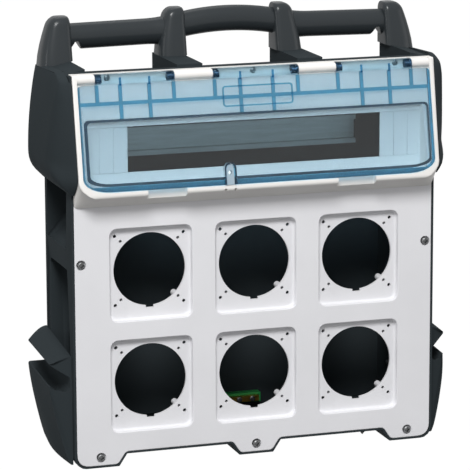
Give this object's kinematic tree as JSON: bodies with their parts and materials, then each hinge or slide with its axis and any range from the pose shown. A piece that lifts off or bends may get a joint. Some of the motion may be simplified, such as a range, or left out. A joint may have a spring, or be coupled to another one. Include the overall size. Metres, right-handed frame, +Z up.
{
  "type": "portable power distribution box",
  "caption": "Upright moulded power distribution box with recessed socket cut-outs, a sloping module hood with a clear hinged flap, a carry handle and side hooks for cable.",
  "frame": {"origin": "underside of the centre foot, on the centre line, half way through the body's depth", "axes": "+X to the right seen from the front, +Y to the back, +Z up"},
  "size_m": [0.505, 0.1566, 0.5353],
  "materials": {
    "anthracite_plastic": "fine-textured moulding",
    "panel_plastic": "fine-textured moulding",
    "hood_plastic": "smooth moulding",
    "clear_polycarbonate": "clear blue moulding",
    "seal_rubber": "matt",
    "screw_steel": "zinc plated",
    "rail_zinc": "zinc plated",
    "earth_green_plastic": "moulded",
    "bus_brass": "bare brass"
  },
  "bodies": {
    "box": {"blank_strip_left": "hood_plastic", "blank_strip_right": "hood_plastic", "bracket_screw_left": "screw_steel", "bracket_screw_right": "screw_steel", "carry_handle": "anthracite_plastic", "din_rail": "rail_zinc", "drain_plug": "seal_rubber", "earth_bus_bar": "bus_brass", "earth_screw_1": "screw_steel", "earth_screw_2": "screw_steel", "earth_screw_3": "screw_steel", "earth_terminal_base": "earth_green_plastic", "front_panel": "panel_plastic", "handle_screw_1": "screw_steel", "handle_screw_2": "screw_steel", "handle_screw_3": "screw_steel", "handle_screw_4": "screw_steel", "hinge_pin_1": "screw_steel", "hinge_pin_2": "screw_steel", "hinge_pin_3": "screw_steel", "hinge_pin_4": "screw_steel", "hood": "hood_plastic", "hood_screw_1": "screw_steel", "hood_screw_2": "screw_steel", "hood_screw_3": "screw_steel", "hook_screw_1": "screw_steel", "hook_screw_2": "screw_steel", "hook_screw_3": "screw_steel", "hook_screw_4": "screw_steel", "left_cable_hook": "anthracite_plastic", "left_shoulder": "anthracite_plastic", "lock_eyelet": "hood_plastic", "module_plate": "hood_plastic", "panel_screw_1": "screw_steel", "panel_screw_2": "screw_steel", "panel_screw_3": "screw_steel", "panel_screw_4": "screw_steel", "panel_screw_5": "screw_steel", "panel_seal": "seal_rubber", "rail_bracket_left": "rail_zinc", "rail_bracket_right": "rail_zinc", "rail_screw_left": "screw_steel", "rail_screw_right": "screw_steel", "rear_shell": "anthracite_plastic", "right_cable_hook": "anthracite_plastic", "right_shoulder": "anthracite_plastic", "shoulder_screw_1": "screw_steel", "shoulder_screw_2": "screw_steel", "shoulder_screw_3": "screw_steel", "shoulder_screw_4": "screw_steel"},
    "flap": {"flap": "clear_polycarbonate"}
  },
  "joints": [
    {"name": "flap_hinge", "type": "hinge", "parent": "box", "child": "flap", "pos_m": [0, -0.05892, 0.469], "axis": [-1, 0, 0], "range_deg": [0, 110]}
  ]
}
